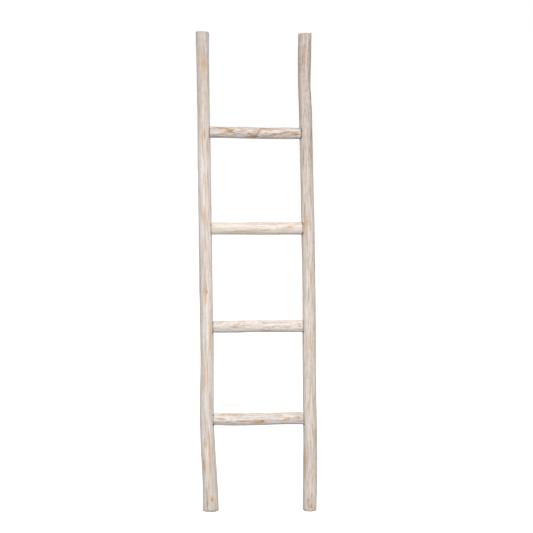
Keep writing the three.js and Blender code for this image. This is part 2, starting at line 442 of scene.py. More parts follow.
def natural_pole(name):
    """A tube with facets, raised grain and drying checks, faded by the attribute "relief"."""
    net = Net(
        name, "GeometryNodeTree",
        inputs=(
            ("Line", "Geometry"), ("Sides", "Int", 128), ("Axis", "Vector", (0, 0, 1)),
            ("Facet Depth", "Float", 1.5 * MM), ("Facet Width", "Float", 26 * MM),
            ("Facet Length", "Float", 210 * MM), ("Grain Depth", "Float", 0.5 * MM),
            ("Grain Width", "Float", 3.6 * MM), ("Grain Length", "Float", 75 * MM),
            ("Check Depth", "Float", 0.8 * MM), ("Check Width", "Float", 5 * MM),
            ("Check Length", "Float", 120 * MM), ("Seed", "Float", 0.0), ("Wood", "Material"),
        ),
        outputs=(("Pole", "Geometry"),),
    )
    given = net.given
    feeds = {"Line": given["Line"], "Sides": given["Sides"]}
    tube = net.group(shared("Tube on Path", tube_on_path), feeds)

    def waves(kind, detail):
        """Noise drawn out along the grain."""
        across = net.scaled(tube["Offset"], 1.0 / given[kind + " Width"])
        lengthwise = net.scaled(given["Axis"], tube["Along"] / given[kind + " Length"])
        return net.noise(net.vector("ADD", across, lengthwise), given["Seed"], detail=detail)

    facets = (waves("Facet", 1.0) - 0.5) * given["Facet Depth"]
    grain = (waves("Grain", 2.5) - 0.5) * given["Grain Depth"]
    checks = net.ramp(waves("Check", 1.0), 0.69, 0.76) * given["Check Depth"]
    height = (facets + grain - checks) * net.named("relief")
    move = net.scaled(net.vector("NORMALIZE", tube["Offset"]), height)
    grown = net.out(
        "GeometryNodeSetPosition", "Geometry", {"Geometry": tube["Tube"], "Offset": move}
    )
    real = net.out("GeometryNodeRealizeInstances", "Geometry", {"Geometry": grown})
    wood = {"Geometry": real, "Material": given["Wood"]}
    return net.giving(Pole=net.out("GeometryNodeSetMaterial", "Geometry", wood))


SCREW_RINGS = 168
SCREW_SIDES = 20
THREAD_DIAMETER = 4.2 * MM
HEAD_RIM = 0.5 * MM
HEAD_HEIGHT = 2.8 * MM
POINT_LENGTH = 6 * MM


def wood_screws(name):
    """A countersunk wood screw at each point of the input, along the attribute "drive"."""
    net = Net(
        name, "GeometryNodeTree",
        inputs=(
            ("Joints", "Geometry"), ("Length", "Float", 50 * MM),
            ("Thread Diameter", "Float", THREAD_DIAMETER), ("Core Share", "Float", 0.66),
            ("Head Diameter", "Float", 8.4 * MM), ("Head Rim", "Float", HEAD_RIM),
            ("Head Height", "Float", HEAD_HEIGHT), ("Point Length", "Float", POINT_LENGTH),
            ("Plain Share", "Float", 0.32), ("Pitch", "Float", 1.8 * MM),
            ("Recess Radius", "Float", 2.2 * MM), ("Recess Depth", "Float", 1.8 * MM),
            ("Steel", "Material"),
        ),
        outputs=(("Screws", "Geometry"),),
    )
    given = net.given

    def straight(*ends):
        """A ramp with an even slope."""
        return net.ramp(*ends, kind="LINEAR")

    line = net.out(
        "GeometryNodeMeshLine", "Mesh",
        {"Count": SCREW_RINGS, "Offset": net.together(Z=given["Length"])}, mode="END_POINTS",
    )
    place = net.apart(net.position())["Z"]
    radius = given["Thread Diameter"] * 0.5
    core = radius * given["Core Share"]
    plain = radius * 0.82
    cone_end = given["Head Rim"] + given["Head Height"]
    thread_start = given["Length"] * given["Plain Share"]
    thread_full = thread_start + given["Pitch"]
    point_start = given["Length"] - given["Point Length"]
    cone = straight(place, given["Head Rim"], cone_end, given["Head Diameter"] * 0.5, plain)
    shank = straight(place, thread_start, thread_full, 0.0, plain - core)
    girth = (cone - shank) * straight(place, point_start, given["Length"], 1.0, 0.06)
    sized = net.out(
        "GeometryNodeStoreNamedAttribute", "Geometry",
        {"Geometry": line, "Name": "girth", "Value": girth}, data_type="FLOAT", domain="POINT",
    )
    tube = net.group(shared("Tube on Path", tube_on_path), {"Line": sized, "Sides": SCREW_SIDES})
    along = tube["Along"]
    spoke = net.apart(tube["Offset"])
    turn = net.math("ARCTAN2", spoke["Y"], spoke["X"]) / (2 * math.pi)
    phase = net.math("FRACT", along / given["Pitch"] - turn)
    crest = net.math("SUBTRACT", 1.0, abs(phase - 0.5) * 3.4, clamp=True)
    fade = straight(along, point_start, given["Length"], 1.0, 0.2)
    ridge = crest * (radius - core) * net.ramp(along, thread_start, thread_full) * fade
    rise = net.scaled(net.vector("NORMALIZE", tube["Offset"]), ridge)
    threaded = net.out(
        "GeometryNodeSetPosition", "Geometry", {"Geometry": tube["Tube"], "Offset": rise}
    )
    bit = net.out(
        "GeometryNodeMeshCone", "Mesh",
        {"Vertices": 4, "Radius Top": given["Recess Radius"], "Radius Bottom": 0.3 * MM,
         "Depth": given["Recess Depth"] * 2.0},
    )
    recess = net.out(
        "GeometryNodeTransform", "Geometry",
        {"Geometry": bit, "Translation": net.together(Z=given["Recess Depth"] * -1.0),
         "Rotation": (math.pi, 0, 0)},
    )
    feeds = {0: threaded, 1: recess}
    cut = net.out(
        "GeometryNodeMeshBoolean", "Mesh", feeds, operation="DIFFERENCE", solver="EXACT"
    )
    drive = {"Vector": net.named("drive", "FLOAT_VECTOR")}
    aim = net.out("FunctionNodeAlignRotationToVector", "Rotation", drive, axis="Z")
    placed = net.out(
        "GeometryNodeInstanceOnPoints", "Instances",
        {"Points": given["Joints"], "Instance": cut, "Rotation": aim},
    )
    real = net.out("GeometryNodeRealizeInstances", "Geometry", {"Geometry": placed})
    steel = {"Geometry": real, "Material": given["Steel"]}
    return net.giving(Screws=net.out("GeometryNodeSetMaterial", "Geometry", steel))


def dress(piece, tree, values):
    """Puts a geometry tree on a piece, with its inputs set by name."""
    modifier = piece.modifiers.new(tree.name, "NODES")
    modifier.node_group = tree
    for item in tree.interface.items_tree:
        if item.item_type == "SOCKET" and item.in_out == "INPUT" and item.name in values:
            modifier[item.identifier] = values[item.name]


def settle(piece):
    """Makes a piece's evaluated shape its plain mesh, and takes its modifiers off."""
    depsgraph = bpy.context.evaluated_depsgraph_get()
    mesh = bpy.data.meshes.new_from_object(
        piece.evaluated_get(depsgraph), preserve_all_data_layers=True, depsgraph=depsgraph
    )
    piece.modifiers.clear()
    piece.data = mesh
    mesh.name = piece.name
    return piece


# ---- shader groups ----


def grained_noise(net, width, length, seed, **settings):
    """Noise drawn out along Z, the grain's direction in the straightened pole."""
    across = 1.0 / width
    stretch = net.together(X=across, Y=across, Z=1.0 / length)
    place = net.vector("MULTIPLY", net.given["Coordinate"], stretch)
    return net.noise(place, seed, **settings)


def wood_fibre(name):
    """Bare wood: fibres along the pole, growth rings on its ends, and knots."""
    net = Net(
        name, "ShaderNodeTree",
        inputs=(
            ("Coordinate", "Vector"), ("Light Wood", "Color"), ("Dark Wood", "Color"),
            ("Knot Wood", "Color"), ("Fibre Width", "Float", 1.1 * MM),
            ("Fibre Length", "Float", 45 * MM), ("Ring Width", "Float", 2.4 * MM),
            ("Knot", "Float", 0.0), ("Seed", "Float", 0.0),
        ),
        outputs=(("Color", "Color"), ("Height", "Float")),
    )
    given = net.given
    width, length, seed = given["Fibre Width"], given["Fibre Length"], given["Seed"]
    fibres = grained_noise(net, width, length, seed, detail=4.0, roughness=0.6)
    broad = grained_noise(net, width * 6.0, length * 3.0, seed)
    flat = net.vector("MULTIPLY", given["Coordinate"], (1, 1, 0))
    reach = net.vector("LENGTH", flat, output="Value") + broad * (4 * MM)
    rings = net.math("SINE", reach / given["Ring Width"] * (2 * math.pi))
    tone = fibres * 0.7 + broad * 0.45 + rings * 0.06
    wood = net.mix(net.ramp(tone, 0.42, 0.72), given["Light Wood"], given["Dark Wood"])
    ringed = net.math("SINE", given["Knot"] * 16.0 + fibres * 3.0) * 0.22 + 0.78
    heart = net.math("MULTIPLY", net.ramp(given["Knot"], 0.12, 0.75), ringed, clamp=True)
    return net.giving(
        Color=net.mix(heart, wood, given["Knot Wood"]), Height=fibres * 0.8 + rings * 0.1
    )


def rubbed_whitewash(name):
    """Whitewash over wood, worn off in streaks along the grain."""
    net = Net(
        name, "ShaderNodeTree",
        inputs=(
            ("Coordinate", "Vector"), ("Wood", "Color"), ("Wash", "Color"),
            ("Thin Wash", "Color"), ("Coverage", "Float", 0.56), ("Softness", "Float", 0.022),
            ("Streak Width", "Float", 4.5 * MM), ("Streak Length", "Float", 70 * MM),
            ("Rubbed", "Float", 0.0), ("Check", "Color"), ("Checks", "Float", 0.4),
            ("Seed", "Float", 0.0),
        ),
        outputs=(("Color", "Color"), ("Height", "Float")),
    )
    given = net.given
    width = given["Streak Width"]

    def layer(wider, longer, step, detail, roughness=0.5, unit=given["Streak Length"]):
        return grained_noise(
            net, width * wider, unit * longer, given["Seed"] + step,
            detail=detail, roughness=roughness,
        )

    streaks = layer(1.0, 1.0, 0.0, 3.0, 0.6)
    threads = layer(0.42, 0.6, 3.1, 3.0, 0.6)
    blotches = layer(4.0, 1.1, 7.7, 2.0)
    thin = layer(1.1, 1.3, 11.3, 3.0)
    flecks = layer(0.6, 1.7, 17.9, 2.0, unit=width)
    from_check = abs(layer(1.3, 1.3, 23.9, 2.0) - 0.5)
    check = net.ramp(from_check, 0.0, 0.045, 1.0, 0.0) * net.ramp(thin, 0.46, 0.6)
    check = check * given["Checks"]
    total = streaks * 0.48 + threads * 0.30 + blotches * 0.10 + flecks * 0.12
    total = total + given["Rubbed"] * 0.145
    low = given["Coverage"] - given["Softness"]
    high = given["Coverage"] + given["Softness"]
    bare = net.ramp(total, low, high)
    thinned = net.ramp(thin * 0.5 + flecks * 0.2 + threads * 0.3, 0.42, 0.6)
    veil = net.mix(thinned, given["Wash"], given["Thin Wash"])
    veil = net.mix(net.ramp(threads, 0.45, 0.7) * 0.32, veil, given["Wood"])
    worn = net.mix(bare * 0.9, veil, given["Wood"])
    return net.giving(
        Color=net.mix(check, worn, given["Check"]),
        Height=1.0 - (bare + check * 1.5) + threads * 0.5,
    )


def settled_grime_and_shade(name):
    """Dirt and painted shade where the attribute says, and a little dirt everywhere."""
    net = Net(
        name, "ShaderNodeTree",
        inputs=(
            ("Coordinate", "Vector"), ("Color", "Color"), ("Grime", "Color"),
            ("Settled", "Float", 0.0), ("Overall", "Float", 0.04), ("Seed", "Float", 0.0),
        ),
        outputs=(("Color", "Color"), ("Roughness", "Float")),
    )
    given = net.given
    place = net.scaled(given["Coordinate"], 60.0)
    cloud = net.ramp(net.noise(place, given["Seed"], detail=4.0, roughness=0.6), 0.4, 0.75)
    ragged = given["Settled"] * (cloud * 0.4 + 0.75)
    share = net.math("ADD", cloud * given["Overall"], ragged, clamp=True)
    return net.giving(
        Color=net.mix(share, given["Color"], given["Grime"]),
        Roughness=net.ramp(cloud, 0.0, 1.0, 0.74, 0.88, kind="LINEAR"),
    )


# ---- materials ----

# How much wash is left, the streaks' width and length in mm, how yellow the whole of it is, how
# brown its bare parts are and how dark its fine checks are.
Wood = namedtuple("Wood", "coverage streaks yellow brown checks")
WOODS = {
    "left_rail": Wood(0.54, (2.6, 110), 0.1, 0.1, 0.35),
    "right_rail": Wood(0.535, (1.9, 80), 0.3, 0.4, 0.6),
    "rung_1": Wood(0.555, (3.2, 38), 0.0, 0.4, 0.35),
    "rung_2": Wood(0.565, (3.0, 34), 0.0, 0.3, 0.35),
    "rung_3": Wood(0.585, (5.0, 60), 1.0, 0.0, 0.12),
    "rung_4": Wood(0.54, (3.4, 34), 0.0, 0.9, 0.5),
    "plugs": Wood(0.50, (2.4, 18), 0.1, 0.3, 0.3),
}
YELLOW_WOOD = srgb(240, 212, 168)
ZINC = srgb(196, 198, 202)


def seed_of(name):
    return 1.0 + list(WOODS).index(name)


class Surface(Net):
    """A material's own tree, with its Principled shader."""

    def __init__(self, name):
        self.material = bpy.data.materials.new(name)
        self.material.use_nodes = True
        self.tree = self.material.node_tree

    def finish(self, values):
        """Sets the shader's own sockets, and hands over the material."""
        for socket, value in values.items():
            self.feed(self.tree.nodes["Principled BSDF"].inputs[socket], value)
        return self.material

    def attribute(self, name, output="Fac"):
        return self.out("ShaderNodeAttribute", output, attribute_name=name)


def blend(colour, other, share):
    return tuple(value + (goal - value) * share for value, goal in zip(colour, other))


def whitewashed_wood(name):
    """Wood fibres under a worn whitewash, after the piece's attributes."""
    colours = bpy.context.scene.ladder_colours
    wood = WOODS[name]
    width, length = wood.streaks
    light = blend(colours.light_wood, YELLOW_WOOD, wood.yellow)
    surface = Surface("whitewashed_" + name)
    common = {"Coordinate": surface.attribute("grain", "Vector"), "Seed": seed_of(name)}
    fibre = surface.group(
        shared("Wood Fibre", wood_fibre),
        {
            **common, "Light Wood": blend(light, colours.dark_wood, wood.brown * 0.8),
            "Dark Wood": blend(colours.dark_wood, colours.knot, wood.brown * 0.6),
            "Knot Wood": colours.knot, "Knot": surface.attribute("knot"),
        },
    )
    wash = surface.group(
        shared("Rubbed Whitewash", rubbed_whitewash),
        {
            **common, "Wood": fibre["Color"], "Coverage": wood.coverage,
            "Wash": blend(colours.wash, YELLOW_WOOD, wood.yellow * 0.13),
            "Thin Wash": blend(colours.thin_wash, YELLOW_WOOD, wood.yellow * 0.3),
            "Streak Width": width * MM, "Streak Length": length * MM,
            "Rubbed": surface.attribute("rubbed"), "Check": colours.grime,
            "Checks": wood.checks,
        },
    )
    # This mixes in the dirt and the painted shade of the joints, undersides and creases.
    dirt = surface.group(
        shared("Settled Grime And Shade", settled_grime_and_shade),
        {
            **common, "Color": wash["Color"], "Grime": colours.grime,
            "Settled": surface.attribute("grime"),
        },
    )
    relief = {
        "Height": fibre["Height"] * 0.6 + wash["Height"], "Strength": 0.5, "Distance": 0.35 * MM,
    }
    return surface.finish({
        "Base Color": dirt["Color"], "Roughness": dirt["Roughness"],
        "Normal": surface.out("ShaderNodeBump", "Normal", relief), "Specular IOR Level": 0.25,
    })


def zinc_steel():
    """Zinc-plated steel with a faint drawn texture and a little dirt."""
    surface = Surface("zinc_steel")
    place = surface.out("ShaderNodeTexCoord", "Object")
    dirt = surface.group(
        shared("Settled Grime And Shade", settled_grime_and_shade),
        {
            "Coordinate": surface.scaled(place, 20.0), "Color": ZINC, "Overall": 0.2,
            "Grime": bpy.context.scene.ladder_colours.grime, "Seed": 9.0,
        },
    )
    return surface.finish({
        "Base Color": dirt["Color"], "Roughness": dirt["Roughness"] * 0.45, "Metallic": 1.0,
    })


# ---- reading the frame ----


def between(start, end, spacing):
    """Even places from start to end, about one spacing apart."""
    count = max(2, round(abs(end - start) / spacing))
    return np.linspace(start, end, count + 1)


class PoleLine:
    """A round pole's axis and radius, read from its CAD node by rays across it."""

    REACH = 0.2  # rays start this far from the axis
    STEP = 4 * MM
    SMOOTHING = 13 * MM

    def __init__(self, node, axis, start, end, turns):
        self.axis = axis
        self.cross = [i for i in range(3) if i != axis]
        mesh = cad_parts[node].data
        corners = [vertex.co.copy() for vertex in mesh.vertices]
        self.tree = BVHTree.FromPolygons(corners, [tuple(face.vertices) for face in mesh.polygons])
        self.places = between(start, end, self.STEP)
        fits = []
        guess = np.array(corners)[:, self.cross].mean(0)
        for place in self.places:
            guess, radius = self.fit(place, guess, turns)
            fits.append((*guess, radius))
        fits = self.smoothed(np.array(fits))
        self.centres, self.radii = fits[:, :2], fits[:, 2]

    def fit(self, place, guess, turns):
        """The circle through the pole's surface at one place along it."""
        found = []
        for turn in turns:
            spoke = np.array((math.cos(turn), math.sin(turn)))
            origin, direction = np.zeros(3), np.zeros(3)
            origin[self.axis] = place
            origin[self.cross] = guess + spoke * self.REACH
            direction[self.cross] = -spoke
            hit = self.tree.ray_cast(Vector(origin), Vector(direction))[0]
            if hit is not None:
                found.append(np.array(hit)[self.cross])
        points = np.array(found)
        terms = np.column_stack((points, np.ones(len(points))))
        answer = np.linalg.lstsq(terms, (points**2).sum(1), rcond=None)[0]
        centre = answer[:2] / 2
        return centre, math.sqrt(answer[2] + centre @ centre)

    def smoothed(self, rows):
        """Takes out the CAD model's facets, running straight on past both ends."""
        reach = round(3 * self.SMOOTHING / self.STEP)
        weights = np.exp(-0.5 * (np.arange(-reach, reach + 1) * self.STEP / self.SMOOTHING) ** 2)
        weights /= weights.sum()
        before = 2 * rows[0] - rows[reach:0:-1]
        after = 2 * rows[-1] - rows[-2 : -reach - 2 : -1]
        columns = np.vstack((before, rows, after)).T
        return np.column_stack([np.convolve(column, weights, "valid") for column in columns])

    def at(self, place, values):
        """Values along the pole, running straight on past the measured stretch."""
        place = np.asarray(place, float)
        first, last = self.places[0], self.places[-1]
        run = 5 * self.STEP
        low = np.minimum(place - first, 0) * ((values[5] - values[0]) / run)
        high = np.maximum(place - last, 0) * ((values[-1] - values[-6]) / run)
        return np.interp(place, self.places, values) + low + high

    def centre(self, place):
        return np.stack([self.at(place, self.centres[:, i]) for i in (0, 1)], -1)

    def radius(self, place):
        return self.at(place, self.radii)

    def point(self, place):
        point = np.zeros(3)
        point[self.axis] = place
        point[self.cross] = self.centre(place)
        return Vector(point)


def rail_line(node):
    """A rail's line, read from its front and back, which the joints leave whole."""
    low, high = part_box(node)
    whole = np.radians(np.linspace(-34, 34, 9))
    turns = np.concatenate((whole + math.pi / 2, whole - math.pi / 2))
    return PoleLine(node, 2, low.z + 8 * MM, high.z - 16 * MM, turns)


class RungLine(PoleLine):
    """A rung's line, with its tenons and shoulders."""

    EDGE = 8 * MM  # the stretch beside a shoulder that its rounding takes up

    def __init__(self, node):
        low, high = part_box(node)
        self.tips = (low.x, high.x)
        corners = np.array([vertex.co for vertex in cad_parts[node].data.vertices])
        x = corners[:, 0]
        ends = [corners[np.abs(x - tip) < 0.5 * MM].mean(0)[1:] for tip in self.tips]
        straight = ends[0] + np.outer((x - low.x) / (high.x - low.x), ends[1] - ends[0])
        reach = np.hypot(*(corners[:, 1:] - straight).T)
        self.tenon_radius = reach[x < low.x + 3 * MM].max()
        middle = (low.x + high.x) / 2
        wide = x[reach > self.tenon_radius + 0.8 * MM]
        self.shoulders = (wide[wide < middle].min(), wide[wide > middle].max())
        start, end = self.shoulders[0] + self.EDGE, self.shoulders[1] - self.EDGE
        super().__init__(node, 0, start, end, np.radians(np.arange(0, 360, 12) + 3.0))


@functools.cache
def line_of(name):
    return RungLine(name) if name in RUNGS else rail_line(name)


# ---- poles ----

FLAT_RINGS = 8
ARC_RINGS = 7
RING_RISE = 0.04 * MM  # keeps the rings of a flat end apart until they are pressed flat
PITH = 0.3 * MM  # the smallest ring, in the middle of an end
TENON_CHAMFER = 1.5 * MM
MEAN_RADIUS = 20.5 * MM


def rounded_end(place, inward, inner, radius, rounding):
    """Rings of place, radius and relief, out over a flat end and its rounded edge."""
    edge = radius - rounding
    rings = []
    for step in range(FLAT_RINGS):
        share = step / FLAT_RINGS
        rings.append((place + inward * RING_RISE * step, inner + (edge - inner) * share, 0.0))
    start = place + inward * RING_RISE * FLAT_RINGS
    for step in range(ARC_RINGS):
        turn = math.pi / 2 * step / ARC_RINGS
        deeper, wider = rounding * (1 - math.cos(turn)), rounding * math.sin(turn)
        rings.append((start + inward * deeper, edge + wider, 0.15 + 0.85 * math.sin(turn)))
    return rings


def body_rings(line, left, right, spacing):
    """The rings between two rounded ends, with those of the ends."""
    places = between(left[-1][0] + spacing / 2, right[-1][0] - spacing / 2, spacing)
    return left + [(place, line.radius(place), 1.0) for place in places] + right[::-1]


def rail_rings(line, low, high):
    sizes = bpy.context.scene.ladder_poles
    foot = rounded_end(low, 1, PITH, line.radius(low), sizes.foot_rounding)
    top = rounded_end(high, -1, PITH, line.radius(high), sizes.top_rounding)
    return body_rings(line, foot, top, sizes.ring_spacing)


def rung_rings(line):
    sizes = bpy.context.scene.ladder_poles
    tenon = line.tenon_radius
    ends = []
    for tip, shoulder, inward in zip(line.tips, line.shoulders, (1, -1)):
        point = rounded_end(tip, inward, PITH, tenon, TENON_CHAMFER)
        start, end = point[-1][0] + inward * 1 * MM, shoulder - inward * 0.5 * MM
        stem = [(place, tenon, 0.0) for place in between(start, end, 3 * MM)]
        rounding = sizes.shoulder_rounding
        edge = rounded_end(shoulder, inward, tenon, line.radius(shoulder), rounding)
        ends.append(point + stem + edge)
    return body_rings(line, *ends, sizes.ring_spacing * 0.75)


def new_piece(name, mesh):
    piece = bpy.data.objects.new(name, mesh)
    bpy.context.scene.collection.objects.link(piece)
    return piece


def grow_pole(name, line, rings, material):
    """The pole's full outside, before it is carved or bored."""
    sizes = bpy.context.scene.ladder_poles
    mesh = bpy.data.meshes.new(name)
    path = [line.point(place) for place, _, _ in rings]
    mesh.from_pydata(path, [(i, i + 1) for i in range(len(path) - 1)], [])
    for key, column in (("girth", 1), ("relief", 2)):
        attribute = mesh.attributes.new(key, "FLOAT", "POINT")
        attribute.data.foreach_set("value", [ring[column] for ring in rings])
    piece = new_piece(name, mesh)
    axis = [float(i == line.axis) for i in range(3)]
    thickness = float(np.median(line.radii)) / MEAN_RADIUS
    dress(
        piece, shared("Natural Pole", natural_pole),
        {
            "Sides": sizes.sides, "Axis": axis, "Facet Depth": sizes.facet_depth * thickness,
            "Grain Depth": sizes.grain_depth, "Check Depth": sizes.check_depth,
            "Seed": seed_of(name), "Wood": material,
        },
    )
    return settle(piece)


def read_points(mesh):
    points = np.empty(len(mesh.vertices) * 3, np.float32)
    mesh.vertices.foreach_get("co", points)
    return points.reshape(-1, 3).astype(float)


def write_points(mesh, points):
    mesh.vertices.foreach_set("co", points.astype(np.float32).ravel())
    mesh.update()


class Skin:
    """A pole's points, each as a place along its line and an offset from it."""

    def __init__(self, piece, name):
        self.mesh = piece.data
        self.name = name
        self.line = line_of(name)
        self.points = read_points(self.mesh)
        self.place = self.points[:, self.line.axis]
        self.offset = self.points[:, self.line.cross] - self.line.centre(self.place)
        self.reach = np.hypot(*self.offset.T)
        low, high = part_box(name)
        self.low, self.high = (low.z, high.z) if name in RAILS else self.line.shoulders
        self.from_end = np.minimum(self.place - self.low, self.high - self.place)

    def degrees(self):
        """Degrees from the front: towards the right on a rail, upwards on a rung."""
        first, second = self.offset.T
        if self.name in RAILS:
            return np.degrees(np.arctan2(first, -second))
        return np.degrees(np.arctan2(second, -first))

    def from_mark(self, share, turn):
        """How far each point is from a mark, along the pole and round it, in metres."""
        place = self.low + share * (self.high - self.low)
        degrees = (self.degrees() - turn + 180) % 360 - 180
        return self.place - place, np.radians(degrees) * float(self.line.radius(place))

    def creases(self, width_share):
        """How deep each point is in each crease, in millimetres."""
        for share, turn, half_length, half_width, depth in CREASES.get(self.name, ()):
            along, across = self.from_mark(share, turn)
            half_width *= width_share
            spread = (along / (half_length * MM)) ** 4 + (across / (half_width * MM)) ** 2
            yield depth * np.exp(-spread)


def bell(distance, width):
    return np.exp(-((distance / width) ** 2))


def carve_knots(piece, name):
    """Swells the wood round each knot, sinks its heart and cuts the creases."""
    skin = Skin(piece, name)
    rise = np.zeros(len(skin.points))
    for share, turn, radius in KNOTS[name]:
        along, across = skin.from_mark(share, turn)
        size = radius * MM
        spread = (along / (1.5 * size)) ** 2 + (across / size) ** 2
        rise += size * (0.06 * np.exp(-spread) - 0.1 * np.exp(-spread * 5))
    for depth in skin.creases(1):
        rise -= depth * MM
    reach = np.maximum(skin.reach, 1e-6)
    on_side = np.clip((reach / skin.line.radius(skin.place) - 0.9) / 0.08, 0, 1)
    skin.points[:, skin.line.cross] += skin.offset * (rise * on_side / reach)[:, None]
    write_points(skin.mesh, skin.points)


NICKED = 9 * MM  # the height of the foot that is chipped along its edge
NICK_DEPTH = 3.2 * MM
SLANTED = 60 * MM  # the length over which the rail leans into its slanting top


def finish_rail_ends(piece, name):
    """Presses the flat ends flat, nicks the foot's edge and slants the top."""
    skin = Skin(piece, name)
    points = skin.points
    flat = FLAT_RINGS * RING_RISE * 1.01
    points[points[:, 2] < skin.low + flat, 2] = skin.low
    points[points[:, 2] > skin.high - flat, 2] = skin.high
    for index in np.nonzero(points[:, 2] < skin.low + NICKED)[0]:
        spot = Vector(points[index])
        rough = noise.noise(Vector((spot.x * 120, spot.y * 120, 4.0)))
        rough += 0.5 * noise.noise(Vector((spot.x * 330, spot.y * 330, 8.0)))
        reach = skin.reach[index] / float(skin.line.radius(spot.z))
        edge = np.clip((reach - 0.72) / 0.28, 0, 1) * (1 - (spot.z - skin.low) / NICKED)
        points[index, 2] += max(0.0, rough) * NICK_DEPTH * edge
        points[index, :2] -= skin.offset[index] * max(0.0, rough) * 0.10 * edge
    normal, spot = top_plane(name)
    share = np.clip((points[:, 2] - (skin.high - SLANTED)) / SLANTED, 0, 1)
    cut = spot[2] - ((points[:, :2] - spot[:2]) @ normal[:2]) / normal[2]
    points[:, 2] += share * (cut - skin.high)
    write_points(skin.mesh, points)


def top_plane(name):
    """The normal of a rail's top face in the frame, and a point on it."""
    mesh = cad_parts[name].data
    top = max(vertex.co.z for vertex in mesh.vertices)
    faces = [f for f in mesh.polygons if f.normal.z > 0.97 and f.center.z > top - 12 * MM]
    total = sum(face.area for face in faces)
    normal = sum((face.normal * face.area for face in faces), Vector()) / total
    spot = sum((face.center * face.area for face in faces), Vector()) / total
    return np.array(normal), np.array(spot)


# ---- joints ----


OVERRUN = 40 * MM  # how far a cutting body runs on past the pole's surface
OVERLAP = 1 * MM  # how far one hole runs into the next
STEP_LENGTH = 0.01 * MM  # where a cutting body changes width


class Joint:
    """One rung end in one rail: its axis and the places along it, read from the frame."""

    def __init__(self, rung, side):
        sizes = bpy.context.scene.ladder_joints
        line = line_of(rung)
        index = SIDES.index(side)
        inward = (1, -1)[index]
        self.rail, self.rung = side + "_rail", rung
        self.screw, self.plug = f"{side}_screw_{rung}", f"{side}_plug_{rung}"
        tip = line.point(line.tips[index])
        shoulder = line.shoulders[index]
        self.direction = (line.point(line.tips[1 - index]) - tip).normalized()
        across = Vector((0, 0, 1)).cross(self.direction).normalized()
        turn = Matrix((self.direction, across, self.direction.cross(across))).transposed()
        self.frame = Matrix.LocRotScale(tip, turn, None)
        self.gap = sizes.fit_gap
        self.tenon_radius = line.tenon_radius
        self.seat_radius = float(line.radius(shoulder)) + sizes.seat_slack
        self.seat_floor = abs(shoulder - line.tips[index]) / abs(self.direction.x) - self.gap
        self.mortise_floor = -self.gap
        self.head = self.place(self.screw, -inward)
        self.screw_end = self.place(self.screw, inward)
        self.head_radius = self.size(self.screw) / 2
        self.plug_end = self.place(self.plug, inward)
        self.plug_radius = self.size(self.plug) / 2

    def place(self, node, end):
        """Where a node ends along the joint's axis, towards +X or -X."""
        low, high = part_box(node)
        x = high.x if end > 0 else low.x
        return (x - self.frame.translation.x) / self.direction.x

    def size(self, node):
        """A round node's diameter across the joint's axis."""
        low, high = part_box(node)
        return high.z - low.z

    def local(self, points):
        """The points along and across the joint's axis."""
        back = self.frame.inverted()
        return points @ np.array(back.to_3x3()).T + np.array(back.translation)

    def turned(self, rings, sides):
        """A closed round body along the joint's axis, from rings of place and radius."""
        points = []
        for place, radius in rings:
            for side in range(sides):
                turn = 2 * math.pi * side / sides
                spoke = Vector((place, radius * math.cos(turn), radius * math.sin(turn)))
                points.append(self.frame @ spoke)
        faces = [tuple(range(sides))[::-1]]
        for here in range(0, len(points) - sides, sides):
            there = here + sides
            for side in range(sides):
                after = (side + 1) % sides
                faces.append((here + side, here + after, there + after, there + side))
        faces.append(tuple(range(len(points) - sides, len(points))))
        return points, faces

    def seat_and_mortise(self):
        """What the rung takes out of the rail."""
        mortise = self.tenon_radius + self.gap
        rings = [
            (self.mortise_floor, mortise), (self.seat_floor, mortise),
            (self.seat_floor + STEP_LENGTH, self.seat_radius),
            (self.seat_floor + OVERRUN, self.seat_radius),
        ]
        return self.turned(rings, 96)

    def plug_and_screw_hole(self):
        """What the plug and the screw take out of the rail."""
        plug, head = self.plug_radius + self.gap, self.head_radius + self.gap
        shank = THREAD_DIAMETER / 2 + self.gap
        rim = self.head + HEAD_RIM
        rings = [
            (self.head - OVERRUN, plug), (self.head, plug), (self.head + STEP_LENGTH, head),
            (rim, head), (rim + HEAD_HEIGHT, shank), (self.mortise_floor + OVERLAP, shank),
        ]
        return self.turned(rings, 48)

    def pilot_hole(self):
        """What the screw takes out of the rung's end."""
        shank = THREAD_DIAMETER / 2 + self.gap
        rings = [
            (-2 * OVERLAP, shank), (self.screw_end - POINT_LENGTH, shank),
            (self.screw_end + self.gap, 0.5 * MM),
        ]
        return self.turned(rings, 32)

    def dowel(self):
        """The plug, before its outer end is cut to the rail's surface."""
        rings = [(self.head - OVERRUN, self.plug_radius), (self.plug_end, self.plug_radius)]
        return self.turned(rings, 48)


def read_joints():
    return [Joint(rung, side) for rung in RUNGS for side in SIDES]


def combined(name, shapes):
    """One mesh object from several lists of points and faces."""
    points, faces = [], []
    for more_points, more_faces in shapes:
        start = len(points)
        points += more_points
        faces += [tuple(corner + start for corner in face) for face in more_faces]
    mesh = bpy.data.meshes.new(name)
    mesh.from_pydata(points, [], faces)
    mesh.update()
    return new_piece(name, mesh)


def cut_with(piece, tools, operation):
    """Applies each boolean tool body to the piece, then removes the tool."""
    for tool in tools:
        modifier = piece.modifiers.new("cut", "BOOLEAN")
        modifier.operation = operation
        modifier.object = tool
        modifier.solver = "MANIFOLD"
    settle(piece)
    for tool in tools:
        bpy.data.objects.remove(tool)
    weld(piece)


WELD = 0.008 * MM  # points closer together than this become one


